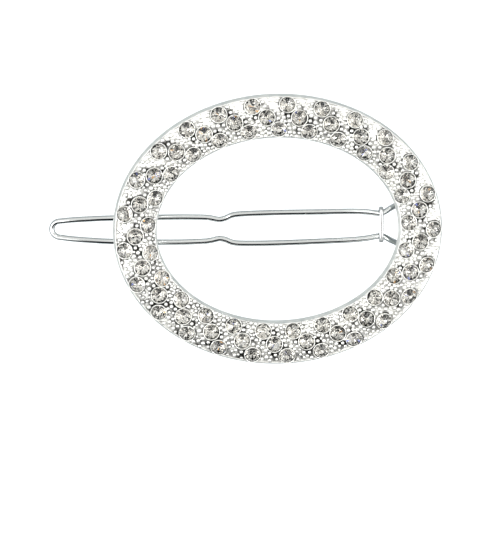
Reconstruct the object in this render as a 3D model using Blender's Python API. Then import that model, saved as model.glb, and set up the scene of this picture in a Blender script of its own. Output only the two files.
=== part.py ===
"""Oval rhinestone hair clip: a cast oval frame set with rows of round stones, and a
spring wire tongue that is hinged on the frame's back and snaps into a catch.

The clip lies on its back with its face up (+Z). The tongue runs along X and its closed
tip points to -X. Z is 0 at the feet of the hinge bracket, and X and Y are 0 at the
middle of the whole clip. Lengths below are in millimetres and are turned into metres
when a mesh is made.
"""

import math

import bmesh
import bpy
import numpy as np
from mathutils import Vector

MM = 0.001
GAP = 0.05                        # clearance kept between pieces that touch
CUT_REACH = 1.00                  # how far a cutting shape passes the piece it cuts

# --- oval frame ---------------------------------------------------------------
MID_A = 20.05                     # half length of the band's middle line, along X
MID_B = 16.03                     # half width of the band's middle line, along Y
BAND_HALF = 3.07                  # half the width of the band
WALL_TOP = 1.05                   # height of the upright edge above the back
SHOULDER = 0.14                   # width of the bevel between the edge and the dome
DOME_R = 5.55                     # radius of the domed face across the band
DOME_TOP = 2.30                   # height of the dome's crest above the back
DOME_ACROSS = (2.2, 1.1, 0.0, -1.1, -2.2)    # where the dome's section has its corners
RECESS_HALF = 2.20                # half width of the channel in the back
RECESS_DEPTH = 0.60
RECESS_SLOPE = 0.20               # lean of the channel's sides
BACK_Z = 4.40                     # height of the frame's back above the feet
STATIONS = 80                     # cross-sections round the oval

# --- stones -------------------------------------------------------------------
ROWS = 25
FIRST_ROW = 3.00                  # way from the oval's top to the first row, clockwise
STONE_ACROSS = 1.74               # how far the outer stones lie from the middle line
STONE_LEAN = 1.72                 # how far along the band the inner ones lead, clockwise
STONE_R = 1.10
STONE_SIDES = 8
TABLE_R = 0.58
CROWN_H = 0.42
CULET_R = 0.22
PAVILION_H = 0.72
SEAT_DEPTH = 0.86
BEDDING_TOP = 0.34                # depth of the adhesive's upper and lower faces
BEDDING_BOTTOM = 0.79
BEDDING_W = 0.56

# --- tongue -------------------------------------------------------------------
WIRE_R = 0.40
TIP_X = -31.60                    # middle of the wire at the tongue's tip
TIP_R = 1.15                      # radius of the tip's round bend
ARCH_X = -8.70                    # where the tongue comes closest to the frame
ARCH_DROP = 0.95                  # its depth below the frame's back there
ARCH_TIP = 0.0053                 # how fast it bows away, per square millimetre
PIVOT_X = 19.45
PIVOT_DROP = 3.30
PIVOT_BEND = 0.90                 # radius of the bend into the bracket's ears
PIVOT_SPREAD = 26.5               # how far each leg spreads from X before that bend, degrees
WIRE_END = 5.65
WIRE_STEP = 1.8                   # longest straight piece of wire
WIRE_ROUND = 2                    # extra corners in a quarter of the wire's section
TIP_STEPS = 8
BEND_STEPS = 4
LEG = ((-30.45, 1.15), (-28.8, 1.34), (-26.0, 1.53), (-23.0, 1.66), (-15.0, 1.78),
       (-10.8, 1.72), (-9.4, 1.60), (-8.2, 1.36), (-7.3, 1.52), (-6.2, 1.96),
       (-4.4, 2.11), (0.0, 2.155), (6.0, 2.09), (10.4, 2.03), (12.7, 1.88),
       (14.1, 1.67), (14.9, 1.64), (15.5, 1.86), (16.2, 2.28))

# --- cross band ---------------------------------------------------------------
BAND_X = 14.85
BAND_W = 0.60
BAND_WALL = 0.36
BAND_OPEN_HALF = 2.20
BAND_STEPS = 6                    # straight pieces in each round end

# --- brackets -----------------------------------------------------------------
SHEET = 0.50                      # thickness of the stamped sheet
EAR_INNER = 4.50
EAR_OUTER = 5.30
EAR_FRONT = 1.10                  # how far the ears reach in front of and below the pivot
EAR_BACK = 1.40
HOLE_R = 0.46
HOLE_SIDES = 16
FOOT_STEPS = 6                    # straight pieces in the foot's round front
STOP_LOW = 3.50                   # depth of the rear wall, the tongue's stop
FOOT_LENGTH = 0.50                # length of the flat foot behind the pivot
CATCH_X = -20.05
CATCH_HALF_W = 1.00
CATCH_INNER = 2.22
LIP_REACH = 0.60
LIP_T = 0.50
LIP_TAPER = 0.15                  # how far the lip's underside is cut back

CENTRE_X = -(TIP_X - WIRE_R + MID_A + BAND_HALF) / 2     # centre of the oval
ARCH_PIVOT = (PIVOT_DROP - ARCH_DROP) / (PIVOT_X - ARCH_X) ** 2


# --- scene helpers --------------------------------------------------------------
def clear_scene():
    """Remove what a new file holds, so only the clip is left."""
    for obj in list(bpy.data.objects):
        bpy.data.objects.remove(obj, do_unlink=True)


def material(name, colour, metallic, roughness):
    """One Principled material."""
    mat = bpy.data.materials.new(name)
    mat.use_nodes = True
    shader = mat.node_tree.nodes["Principled BSDF"]
    shader.inputs["Base Color"].default_value = (*colour, 1.0)
    shader.inputs["Metallic"].default_value = metallic
    shader.inputs["Roughness"].default_value = roughness
    return mat


def place(point):
    """From millimetres about the oval's centre and back to metres in the clip's frame."""
    x, y, z = point
    return Vector(((x + CENTRE_X) * MM, y * MM, (z + BACK_Z) * MM))


def mesh_object(name, verts, faces, mat=None, origin=(0.0, 0.0, 0.0)):
    """An object from points in millimetres, with its own origin at another point."""
    base = place(origin)
    mesh = bpy.data.meshes.new(name)
    mesh.from_pydata([place(v) - base for v in verts], [], faces)
    made = bmesh.new()
    made.from_mesh(mesh)
    bmesh.ops.recalc_face_normals(made, faces=made.faces)
    made.to_mesh(mesh)
    made.free()
    obj = bpy.data.objects.new(name, mesh)
    obj.location = base
    bpy.context.scene.collection.objects.link(obj)
    if mat:
        mesh.materials.append(mat)
    return obj


def cutter(obj):
    """Mark an object as a tool that isn't part of the clip."""
    obj.hide_render = True
    obj.display_type = "WIRE"
    return obj


def boolean(obj, tool, operation, self_overlap=False):
    """Add an exact Boolean modifier."""
    step = obj.modifiers.new(operation.lower(), "BOOLEAN")
    step.operation = operation
    step.object = tool
    step.solver = "EXACT"
    step.use_self = self_overlap


def loft(sections, closed):
    """Faces that join rings of points one after another; open lofts get end caps."""
    count = len(sections)
    size = len(sections[0])
    verts = [v for ring in sections for v in ring]
    faces = []
    for i in range(count if closed else count - 1):
        low = i * size
        high = (i + 1) % count * size
        for j in range(size):
            k = (j + 1) % size
            faces.append((low + j, low + k, high + k, high + j))
    if not closed:
        faces.append(tuple(range(size)))
        faces.append(tuple(range((count - 1) * size, count * size)))
    return verts, faces


def merge(parts):
    """Several lofts in one list of points and faces."""
    verts, faces = [], []
    for part_verts, part_faces in parts:
        shift = len(verts)
        verts.extend(part_verts)
        faces.extend(tuple(i + shift for i in face) for face in part_faces)
    return verts, faces


def prism(outline, axis, low, high):
    """An outline drawn across an axis (X or Y) and extruded from low to high."""
    def point(u, v, along):
        return (along, u, v) if axis == "X" else (u, along, v)
    return loft([[point(u, v, low) for u, v in outline],
                 [point(u, v, high) for u, v in outline]], closed=False)


# --- the oval's middle line ---------------------------------------------------
def arc_table(samples=7200):
    """Angle from the oval's top, clockwise, against the way along the middle line."""
    angle = np.linspace(0.0, 2 * math.pi, samples + 1)
    x = MID_A * np.sin(angle)
    y = MID_B * np.cos(angle)
    way = np.concatenate(([0.0], np.cumsum(np.hypot(np.diff(x), np.diff(y)))))
    return angle, way


ARC_ANGLE, ARC_WAY = arc_table()
PERIMETER = float(ARC_WAY[-1])


def on_oval(way):
    """Middle-line point, outward direction and clockwise direction after a way."""
    angle = float(np.interp(way % PERIMETER, ARC_WAY, ARC_ANGLE))
    point = Vector((MID_A * math.sin(angle), MID_B * math.cos(angle), 0.0))
    clockwise = Vector((MID_A * math.cos(angle), -MID_B * math.sin(angle), 0.0))
    clockwise.normalize()
    outward = Vector((-clockwise.y, clockwise.x, 0.0))
    return point, outward, clockwise


def dome_height(across):
    """Height of the domed face above the back, at a distance across the band."""
    return DOME_TOP - DOME_R + math.sqrt(DOME_R ** 2 - across ** 2)


# --- frame ------------------------------------------------------------------------
def band_section():
    """Outline across the band: edges, bevels, dome, and the channel in the back."""
    half = BAND_HALF
    bevel_s = half - SHOULDER
    bevel_z = dome_height(bevel_s) - SHOULDER
    dome = [(s, dome_height(s)) for s in DOME_ACROSS]
    return ([(half, 0.0), (half, WALL_TOP), (bevel_s, bevel_z)] + dome
            + [(-bevel_s, bevel_z), (-half, WALL_TOP), (-half, 0.0),
               (-RECESS_HALF, 0.0), (-RECESS_HALF + RECESS_SLOPE, RECESS_DEPTH),
               (RECESS_HALF - RECESS_SLOPE, RECESS_DEPTH), (RECESS_HALF, 0.0)])


def frame_shape():
    """The band's outline carried round the oval."""
    rings = []
    for i in range(STATIONS):
        point, outward, _ = on_oval(PERIMETER * i / STATIONS)
        rings.append([tuple(point + outward * s + Vector((0, 0, z)))
                      for s, z in band_section()])
    return loft(rings, closed=True)


def stone_places():
    """For each row, the place and the axes of its three stones, outer one first."""
    rows = []
    for row in range(ROWS):
        way = FIRST_ROW + PERIMETER * row / ROWS
        places = []
        for step in (-1, 0, 1):
            point, outward, along = on_oval(way + step * STONE_LEAN)
            across = -step * STONE_ACROSS
            centre = point + outward * across + Vector((0, 0, dome_height(across)))
            up = outward * across + Vector((0, 0, math.sqrt(DOME_R ** 2 - across ** 2)))
            up.normalize()
            places.append((centre, along, up.cross(along), up))
        rows.append(places)
    return rows


def turned(place_axes, profile, sides):
    """Rings of a turned shape: profile is (radius, height) along the stone's own axis."""
    centre, along, side, up = place_axes
    rings = []
    for radius, height in profile:
        ring = []
        for k in range(sides):
            angle = 2 * math.pi * (k + 0.5) / sides
            ring.append(tuple(centre + up * height + along * (radius * math.cos(angle))
                              + side * (radius * math.sin(angle))))
        rings.append(ring)
    return loft(rings, closed=False)


def strip(places, width, top, bottom):
    """A bar with a rectangular section that runs under the stones of one row."""
    rings = []
    for i, (centre, _, _, up) in enumerate(places):
        before = places[max(i - 1, 0)][0]
        after = places[min(i + 1, len(places) - 1)][0]
        across = up.cross(after - before).normalized() * (width / 2)
        rings.append([tuple(centre + across + up * top), tuple(centre - across + up * top),
                      tuple(centre - across + up * bottom),
                      tuple(centre + across + up * bottom)])
    return loft(rings, closed=False)


def build_frame(rows, plate):
    """The cast oval with a round seat for each stone and a groove along each row."""
    verts, faces = frame_shape()
    frame = mesh_object("ring_frame", verts, faces, plate)
    seat_r = STONE_R + GAP / math.cos(math.pi / STONE_SIDES)
    seat = [(seat_r, -SEAT_DEPTH), (seat_r, CUT_REACH)]
    tools = []
    for places in rows:
        tools.extend(turned(spot, seat, STONE_SIDES) for spot in places)
        tools.append(strip(places, BEDDING_W + 4 * GAP, CUT_REACH, -SEAT_DEPTH))
    seats = cutter(mesh_object("seat_cutter", *merge(tools)))
    boolean(frame, seats, "DIFFERENCE", self_overlap=True)
    return frame


def build_stone_rows(rows, crystal):
    """One node for each row: three stones and the adhesive strip that beds them."""
    gem = [(CULET_R, -PAVILION_H), (STONE_R, 0.0), (TABLE_R, CROWN_H)]
    for number, places in enumerate(rows, start=1):
        stones = merge([turned(spot, gem, STONE_SIDES) for spot in places])
        row = mesh_object(f"stone_row_{number:02d}", *stones, crystal,
                          origin=tuple(places[1][0]))
        bedding = strip(places, BEDDING_W, -BEDDING_TOP, -BEDDING_BOTTOM)
        tool = cutter(mesh_object(f"bedding_{number:02d}", *bedding,
                                  origin=tuple(places[1][0])))
        boolean(row, tool, "UNION")


# --- tongue -----------------------------------------------------------------------
def arch(x):
    """Height of the wire's middle: highest at ARCH_X, bowing away to both ends."""
    rate = ARCH_TIP if x < ARCH_X else ARCH_PIVOT
    return -ARCH_DROP - rate * (x - ARCH_X) ** 2


def smooth(points):
    """Points along a Catmull-Rom curve through the given ones, WIRE_STEP apart or less."""
    ends = [points[0] * 2 - points[1], *points, points[-1] * 2 - points[-2]]
    path = []
    for a, b, c, d in zip(ends, ends[1:], ends[2:], ends[3:]):
        steps = max(2, math.ceil((c - b).length / WIRE_STEP))
        for i in range(steps):
            t = i / steps
            path.append(0.5 * (2 * b + (c - a) * t + (2 * a - 5 * b + 4 * c - d) * t ** 2
                               + (3 * b - a - 3 * c + d) * t ** 3))
    path.append(points[-1])
    return path


def leg_path():
    """One leg in plan, from the tip's bend to the free end in the bracket's ear.

    It ends in a straight run, then a bend that turns it to lie along Y.
    """
    spread = math.radians(PIVOT_SPREAD)
    bend = []
    for i in range(BEND_STEPS + 1):
        angle = spread + (math.pi / 2 - spread) * i / BEND_STEPS
        bend.append(Vector((PIVOT_X - PIVOT_BEND + PIVOT_BEND * math.sin(angle),
                            EAR_INNER - GAP - PIVOT_BEND * math.cos(angle))))
    run = Vector(LEG[-1]).lerp(bend[0], 0.5)
    return smooth([Vector(p) for p in LEG]) + [run] + bend + [Vector((PIVOT_X, WIRE_END))]


def build_tongue(steel):
    """The spring wire: one loop with a round tip, bent out into the two ears."""
    leg = leg_path()
    tip = []
    for i in range(1, TIP_STEPS):
        angle = math.pi / 2 + math.pi * i / TIP_STEPS
        tip.append(Vector((LEG[0][0] + TIP_R * math.cos(angle), TIP_R * math.sin(angle))))
    mirrored = [Vector((p.x, -p.y)) for p in leg]
    outline = list(reversed(leg)) + tip + mirrored
    pivot = place((PIVOT_X, 0.0, -PIVOT_DROP))
    curve = bpy.data.curves.new("wire_tongue", "CURVE")
    curve.dimensions = "3D"
    curve.bevel_depth = WIRE_R * MM
    curve.bevel_resolution = WIRE_ROUND
    curve.use_fill_caps = True
    spline = curve.splines.new("POLY")
    spline.points.add(len(outline) - 1)
    for spot, p in zip(spline.points, outline):
        height = arch(p.x) if p.x < PIVOT_X - PIVOT_BEND else -PIVOT_DROP
        spot.co = (*(place((p.x, p.y, height)) - pivot), 1.0)
    wire = bpy.data.objects.new("wire_tongue", curve)
    wire.location = pivot
    curve.materials.append(steel)
    bpy.context.scene.collection.objects.link(wire)


def obround(half_length, half_height, middle):
    """A flat-sided outline with round ends, in Y and Z, about a middle height."""
    reach = half_length - half_height
    outline = []
    for side in (1, -1):
        for i in range(BAND_STEPS + 1):
            angle = side * (math.pi / 2 - math.pi * i / BAND_STEPS)
            outline.append((side * (reach + half_height * math.cos(angle)),
                            middle + half_height * math.sin(angle)))
    return outline


def build_cross_band(steel):
    """The strap crimped round both legs, just before they spread to the hinge."""
    middle = arch(BAND_X)
    low, high = BAND_X - BAND_W / 2, BAND_X + BAND_W / 2
    outer = obround(BAND_OPEN_HALF + BAND_WALL, WIRE_R + 2 * GAP + BAND_WALL, middle)
    inner = obround(BAND_OPEN_HALF, WIRE_R + 2 * GAP, middle)
    pivot = (PIVOT_X, 0.0, -PIVOT_DROP)
    band = mesh_object("cross_band", *prism(outer, "X", low, high), steel, origin=pivot)
    hole = prism(inner, "X", low - CUT_REACH, high + CUT_REACH)
    boolean(band, cutter(mesh_object("band_hole", *hole)), "DIFFERENCE")


# --- brackets ---------------------------------------------------------------------
def build_hinge_bracket(steel):
    """A stamped channel under the band: two ears for the wire and a rear wall."""
    top = RECESS_DEPTH - GAP
    front = PIVOT_X - EAR_FRONT
    rear = PIVOT_X + EAR_BACK
    foot = -PIVOT_DROP - EAR_FRONT
    side = [(front, top)]
    for i in range(FOOT_STEPS + 1):
        angle = math.pi + math.pi / 2 * i / FOOT_STEPS
        side.append((PIVOT_X + EAR_FRONT * math.cos(angle),
                     -PIVOT_DROP + EAR_FRONT * math.sin(angle)))
    side += [(PIVOT_X + FOOT_LENGTH, foot), (rear, -STOP_LOW), (rear, top)]
    bracket = mesh_object("hinge_bracket", *prism(side, "Y", -EAR_OUTER, EAR_OUTER), steel)

    wall = rear - SHEET
    ahead = front - CUT_REACH
    behind = rear + CUT_REACH
    below = foot - CUT_REACH
    inside = [(ahead, top - SHEET), (ahead, below), (behind, below), (behind, -STOP_LOW),
              (wall, -STOP_LOW), (wall, top - SHEET)]
    hollow = cutter(mesh_object("bracket_hollow", *prism(inside, "Y", -EAR_INNER, EAR_INNER)))
    boolean(bracket, hollow, "DIFFERENCE")

    circle = [(PIVOT_X + HOLE_R * math.cos(2 * math.pi * i / HOLE_SIDES),
               -PIVOT_DROP + HOLE_R * math.sin(2 * math.pi * i / HOLE_SIDES))
              for i in range(HOLE_SIDES)]
    reach = EAR_OUTER + CUT_REACH
    bore = cutter(mesh_object("pivot_bore", *prism(circle, "Y", -reach, reach)))
    boolean(bracket, bore, "DIFFERENCE")


def build_catch_bracket(steel):
    """A stamped channel under the other end: two hooks that hold the tongue's legs."""
    top = RECESS_DEPTH - GAP
    outer = CATCH_INNER + SHEET
    lip = CATCH_INNER - LIP_REACH
    lip_top = arch(CATCH_X) - WIRE_R - 2 * GAP
    lip_low = lip_top - LIP_T
    right = [(CATCH_INNER, top - SHEET), (CATCH_INNER, lip_top), (lip, lip_top),
             (lip + LIP_TAPER, lip_low), (outer, lip_low), (outer, top)]
    left = [(-y, z) for y, z in reversed(right)]
    shape = prism(right + left, "X", CATCH_X - CATCH_HALF_W, CATCH_X + CATCH_HALF_W)
    mesh_object("catch_bracket", *shape, steel)


def main():
    clear_scene()
    plate = material("silver_plate", (0.86, 0.87, 0.88), 1.0, 0.18)
    crystal = material("foiled_crystal", (0.80, 0.82, 0.85), 0.1, 0.05)
    wire_steel = material("spring_wire", (0.75, 0.77, 0.78), 1.0, 0.12)
    stamped = material("plated_sheet", (0.80, 0.81, 0.82), 1.0, 0.25)
    rows = stone_places()
    build_frame(rows, plate)
    build_stone_rows(rows, crystal)
    build_tongue(wire_steel)
    build_cross_band(wire_steel)
    build_hinge_bracket(stamped)
    build_catch_bracket(stamped)


main()
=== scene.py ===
"""Rhinestone hair clip: the looks of a clip whose frame, joints and sizes are already packed.

The cast oval, its stone cups, prongs and grains, the cut stones, the spring wire and the strap
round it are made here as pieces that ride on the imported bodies. The two stamped brackets are
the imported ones, with rounded edges and a finish. Lengths are in metres. Run it as a script:
each operator makes one group of pieces.
"""

import math

import bpy
import numpy as np
from mathutils import Matrix, Vector


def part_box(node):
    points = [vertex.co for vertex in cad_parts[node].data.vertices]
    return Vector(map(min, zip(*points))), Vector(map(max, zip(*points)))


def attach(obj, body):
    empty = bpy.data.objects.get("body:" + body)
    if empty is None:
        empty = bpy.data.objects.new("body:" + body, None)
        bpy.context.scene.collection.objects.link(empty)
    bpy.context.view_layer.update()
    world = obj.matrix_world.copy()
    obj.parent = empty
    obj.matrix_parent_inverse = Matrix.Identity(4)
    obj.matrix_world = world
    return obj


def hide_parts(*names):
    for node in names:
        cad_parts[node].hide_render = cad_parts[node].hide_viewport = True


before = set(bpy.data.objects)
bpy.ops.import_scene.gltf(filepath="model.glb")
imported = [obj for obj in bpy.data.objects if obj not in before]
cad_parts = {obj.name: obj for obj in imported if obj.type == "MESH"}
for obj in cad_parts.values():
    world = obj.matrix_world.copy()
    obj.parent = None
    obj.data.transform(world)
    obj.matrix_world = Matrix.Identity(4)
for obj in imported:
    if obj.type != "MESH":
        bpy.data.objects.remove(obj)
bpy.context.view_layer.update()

bl_info = {
    "name": "Rhinestone hair clip",
    "version": (1, 0, 0),
    "blender": (4, 5, 0),
    "location": "3D View > Sidebar > Hair clip",
    "description": "Dresses the packed hair clip with cut stones, grained silver and spring wire",
    "category": "Object",
}

LEVEL = np.array((0.0, 0.0, 1.0))  # straight up

# --- the oval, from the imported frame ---
BAND_HALF = 0.00307  # half the width of the cast band
FRAME_LOW, FRAME_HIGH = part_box("ring_frame")
CENTRE_X = (FRAME_LOW.x + FRAME_HIGH.x) / 2
MID_A = (FRAME_HIGH.x - FRAME_LOW.x) / 2 - BAND_HALF
MID_B = (FRAME_HIGH.y - FRAME_LOW.y) / 2 - BAND_HALF
BACK_Z = FRAME_LOW.z
DOME_R = 0.00555  # radius of the domed face across the band
DOME_TOP = 0.0023  # its crest above the back
ROWS = sum(name.startswith("stone_row_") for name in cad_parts)
FIRST_ROW = 0.003  # way from the oval's top to the first row of stones
STONE_ACROSS = 0.00174  # how far the outer stones lie from the middle line
STONE_LEAN = 0.00172  # how far along the band the inner ones lead
PRONG_OFF = 0.00098  # how far a prong stands to the side of its row's line
FLOOR_EDGE = 0.00002  # how far the floor and its grains stay inside the rim
SHADE_TOWARDS = (-0.75, -0.66, 0.0)  # the side of the oval that gets the most painted shade

# --- the wire, as the imported tongue is bent ---
WIRE_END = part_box("wire_tongue")[1].y  # how far out the wire's cut ends lie
PIVOT_X = 0.01945
PIVOT_DROP = 0.0033
PIVOT_BEND = 0.0009
PIVOT_SPREAD = math.radians(26.5)
ARCH_X = -0.0087
ARCH_DROP = 0.00095
ARCH_TIP_RATE = 5.3  # how fast the wire bows away towards its tip, per metre
BEND_END = 0.00445  # how far out the wire's bend into the ear ends
TIP_BEND = 0.00115
LEG = np.array([  # one leg from the tip on: X from the oval's centre, and Y
    (-30.45, 1.15), (-28.8, 1.34), (-26.0, 1.53), (-23.0, 1.66), (-15.0, 1.78),
    (-10.8, 1.72), (-9.4, 1.60), (-8.2, 1.36), (-7.3, 1.52), (-6.2, 1.96),
    (-4.4, 2.11), (0.0, 2.155), (6.0, 2.09), (10.4, 2.03), (12.7, 1.88),
    (14.1, 1.67), (14.9, 1.64), (15.5, 1.86), (16.2, 2.28)]) * 0.001
STRAP_X = 0.01485
STRAP_OPEN_HALF = 0.0022
PLAY = 0.0001  # room between the strap and the wire
CUT_END = 0.00012  # length of the wire's rounded cut ends


# --- settings ---
def length(name, description, default):
    """A length setting in metres."""
    return bpy.props.FloatProperty(name=name, description=description, default=default,
                                   min=0.0, precision=5, unit="LENGTH", subtype="DISTANCE")


def colour(name, description, default):
    """A colour setting."""
    return bpy.props.FloatVectorProperty(name=name, description=description, default=default,
                                         size=3, min=0.0, max=1.0, subtype="COLOR")


def share(name, description, default):
    """A setting from nothing to all."""
    return bpy.props.FloatProperty(name=name, description=description, default=default,
                                   min=0.0, max=1.0, subtype="FACTOR")


class ClipBandSettings(bpy.types.PropertyGroup):
    """Sizes of the cast oval and of the grains on it."""

    floor_depth: length("Floor depth", "Depth of the floor under the grains", 0.00020)
    pit_depth: length("Pit depth", "Depth of the seat under each stone", 0.00085)
    rim_half: length("Rim", "Distance from the middle line to the inside of the smooth rim",
                     0.00268)
    grain_radius: length("Grain radius", "Middle radius of the grains", 0.00034)
    grain_gap: length("Grain spacing", "Distance between neighbouring grains", 0.00068)
    # the gaps round cups and prongs show the floor's painted shade
    prong_radius: length("Prong radius", "Radius of the beads that hold the stones", 0.00028)
    cup_room: length("Cup room", "Dark gap kept between a cup and its grains", 0.00005)
    prong_room: length("Prong room", "Bare, dark ground kept round each prong", 0.00014)


class ClipStoneSettings(bpy.types.PropertyGroup):
    """Sizes of the cut stones and their cups."""

    radius: length("Radius", "Radius of a stone's girdle", 0.00110)
    table: length("Table radius", "Radius of the flat top facet", 0.00058)
    crown: length("Crown height", "Height of the top facet above the girdle", 0.00042)
    pavilion: length("Pavilion depth", "Depth of the point under the girdle", 0.00072)
    cup_wall: length("Cup wall", "Thickness of the bright rim round a stone", 0.00012)
    seed: bpy.props.IntProperty(name="Seed", description="Changes how the facets sparkle",
                                default=11, min=0)


class ClipWireSettings(bpy.types.PropertyGroup):
    """Sizes of the spring wire and the strap."""

    radius: length("Wire radius", "Radius of the spring wire", 0.00040)
    strap_width: length("Strap width", "Width of the strap along the clip", 0.00060)
    strap_wall: length("Strap thickness", "Thickness of the strap's metal", 0.00036)


class ClipFinishSettings(bpy.types.PropertyGroup):
    """Colours and gloss of the finishes."""

    silver: colour("Silver", "Colour of the plated casting", (0.875, 0.873, 0.845))
    # colour of the painted shade in crevices, under beads and on one side of the oval
    painted_shade: colour("Painted shade", "Colour that gathers in the crevices", (0.035, 0.033, 0.030))
    wire: colour("Wire", "Colour of the spring wire", (0.68, 0.70, 0.70))
    sheet: colour("Sheet", "Colour of the stamped brackets", (0.78, 0.785, 0.79))
    glass: colour("Glass", "Tint of the clear stones", (1.0, 0.995, 0.98))
    # painted flashes of fire on a few foil facets
    warm_fire: colour("Warm fire", "Colour of the warm flashes", (1.0, 0.62, 0.30))
    cool_fire: colour("Cool fire", "Colour of the cool flashes", (0.42, 0.48, 1.0))
    gloss: share("Roughness", "Roughness of the plated casting", 0.44)


class ClipStageSettings(bpy.types.PropertyGroup):
    """The floor, the light and the camera."""

    floor: colour("Floor", "Colour of the floor in the metal", (0.29, 0.32, 0.33))
    floor_drop: length("Floor drop", "Room under the clip for its tongue to swing open", 0.055)
    distance: length("Camera distance", "Distance from the camera to the clip", 0.5)
    sky: bpy.props.FloatProperty(name="Sky", description="Strength of the light all round",
                                 default=1.06, min=0.0)


# --- meshes ---
def grid_faces(rows, columns, wrap_rows=False):
    """Four-sided faces of a grid of points, each from (row, column) to its next neighbours.

    The last column joins the first, and the last row does too when wrap_rows is set.
    """
    row = np.arange(rows if wrap_rows else rows - 1)[:, None]
    column = np.arange(columns)[None, :]
    after = (row + 1) % rows * columns
    beside = (column + 1) % columns
    corners = (row * columns + column, row * columns + beside, after + beside, after + column)
    return np.stack(corners, axis=-1).reshape(-1, 4)


def fan_faces(ring_start, columns, pole, turn_round):
    """Triangles from one ring of points to a pole."""
    near = ring_start + np.arange(columns)
    far = ring_start + (np.arange(columns) + 1) % columns
    pair = (far, near) if turn_round else (near, far)
    return np.stack((*pair, np.full(columns, pole)), axis=-1)


def turned_shape(radii, heights, sides):
    """A closed turned shape: each (radius, height) becomes a ring of points round the axis.

    Point k of a ring lies at radius * (cos, sin) of a whole turn * k / sides. The first and
    last rings are closed by a pole on the axis, at the first and last heights.
    """
    angle = 2 * math.pi * np.arange(sides) / sides
    ring = np.stack((np.cos(angle), np.sin(angle), np.zeros(sides)), axis=-1)
    points = ring[None] * np.asarray(radii)[1:-1, None, None]
    points[..., 2] = np.asarray(heights)[1:-1, None]
    rows = len(radii) - 2
    poles = np.array([(0, 0, heights[0]), (0, 0, heights[-1])])
    faces = [grid_faces(rows, sides), fan_faces(0, sides, rows * sides, True),
             fan_faces((rows - 1) * sides, sides, rows * sides + 1, False)]
    return np.concatenate((points.reshape(-1, 3), poles)), faces


def turned_ring(radii, heights, sides):
    """A closed ring: a loop of (radius, height) carried a whole turn round the axis."""
    angle = 2 * math.pi * np.arange(sides) / sides
    x = np.asarray(radii)[:, None] * np.cos(angle)
    y = np.asarray(radii)[:, None] * np.sin(angle)
    z = np.broadcast_to(np.asarray(heights)[:, None], x.shape)
    return np.stack((x, y, z), axis=-1).reshape(-1, 3), [grid_faces(len(radii), sides, True)]


def scatter(shape, centres, axes, sizes):
    """Copies of a shape: each point is centre + size * (x * along + y * side + z * up)."""
    points, faces = shape
    moved = np.einsum("nij,mi->nmj", axes, points) * np.asarray(sizes)[:, None, None]
    moved = moved + centres[:, None]
    shift = len(points) * np.arange(len(centres))[:, None, None]
    return moved.reshape(-1, 3), [(f[None] + shift).reshape(-1, f.shape[1]) for f in faces]


def swept(path, frames, profile, taper):
    """A profile carried along a path: point + taper * (u * side + v * up) at each station."""
    side, up = frames
    u = taper[:, None, None] * profile[None, :, 0, None]
    v = taper[:, None, None] * profile[None, :, 1, None]
    return path[:, None] + u * side[:, None] + v * up[:, None]


def put_mesh(name, points, faces, materials, smooth=True):
    """A mesh object at the origin from an array of points and arrays of faces."""
    corners = np.concatenate([f.ravel() for f in faces])
    sizes = np.concatenate([np.full(len(f), f.shape[1]) for f in faces])
    mesh = bpy.data.meshes.new(name)
    mesh.vertices.add(len(points))
    mesh.vertices.foreach_set("co", np.asarray(points, np.float32).ravel())
    mesh.loops.add(len(corners))
    mesh.loops.foreach_set("vertex_index", corners.astype(np.int32))
    mesh.polygons.add(len(sizes))
    starts = np.cumsum(sizes) - sizes
    mesh.polygons.foreach_set("loop_start", starts.astype(np.int32))
    mesh.update(calc_edges=True)
    if mesh.validate():
        raise RuntimeError(f"{name} has broken faces")
    mesh.polygons.foreach_set("use_smooth", np.full(len(sizes), smooth))
    for material in materials:
        mesh.materials.append(material)
    obj = bpy.data.objects.new(name, mesh)
    bpy.context.scene.collection.objects.link(obj)
    return obj


def settle(piece, body, slot, *nodes):
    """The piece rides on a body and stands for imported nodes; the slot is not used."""
    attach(piece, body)
    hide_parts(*nodes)


def float_attribute(piece, name, values):
    """A number on every point of a piece, for its material to read."""
    layer = piece.data.attributes.new(name, "FLOAT", "POINT")
    layer.data.foreach_set("value", np.asarray(values, np.float32).ravel())


# --- the oval's middle line ---
def way_table(samples=7200):
    """Angle from the oval's top, clockwise, against the way along the middle line."""
    angle = np.linspace(0.0, 2 * math.pi, samples + 1)
    steps = np.hypot(np.diff(MID_A * np.sin(angle)), np.diff(MID_B * np.cos(angle)))
    return angle, np.concatenate(([0.0], np.cumsum(steps)))


WAY_ANGLE, WAY_LENGTH = way_table()
PERIMETER = float(WAY_LENGTH[-1])


def on_oval(way):
    """Middle-line point, outward direction and clockwise direction after each way.

    The point is (a sin, b cos) of the angle that the way reaches; the clockwise direction is
    its derivative, and the outward one is a quarter turn from that.
    """
    angle = np.interp(np.mod(way, PERIMETER), WAY_LENGTH, WAY_ANGLE)
    flat = np.zeros_like(angle)
    point = np.stack((CENTRE_X + MID_A * np.sin(angle), MID_B * np.cos(angle), flat), axis=-1)
    clockwise = np.stack((MID_A * np.cos(angle), -MID_B * np.sin(angle), flat), axis=-1)
    clockwise /= np.linalg.norm(clockwise, axis=-1, keepdims=True)
    outward = np.stack((-clockwise[..., 1], clockwise[..., 0], flat), axis=-1)
    return point, outward, clockwise


def dome_height(across):
    """Height of the domed face above the back: a circle of DOME_R under DOME_TOP."""
    return DOME_TOP - DOME_R + np.sqrt(DOME_R ** 2 - across ** 2)


def on_dome(way, across):
    """Points of the domed face, with the axes (along, side, up) that stand on it."""
    point, outward, along = on_oval(way)
    across = np.broadcast_to(across, np.shape(way))[..., None]
    centre = point + outward * across + LEVEL * (BACK_Z + dome_height(across))
    up = (outward * across + LEVEL * np.sqrt(DOME_R ** 2 - across ** 2)) / DOME_R
    return centre, np.stack((along, np.cross(up, along), up), axis=-2)


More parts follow.
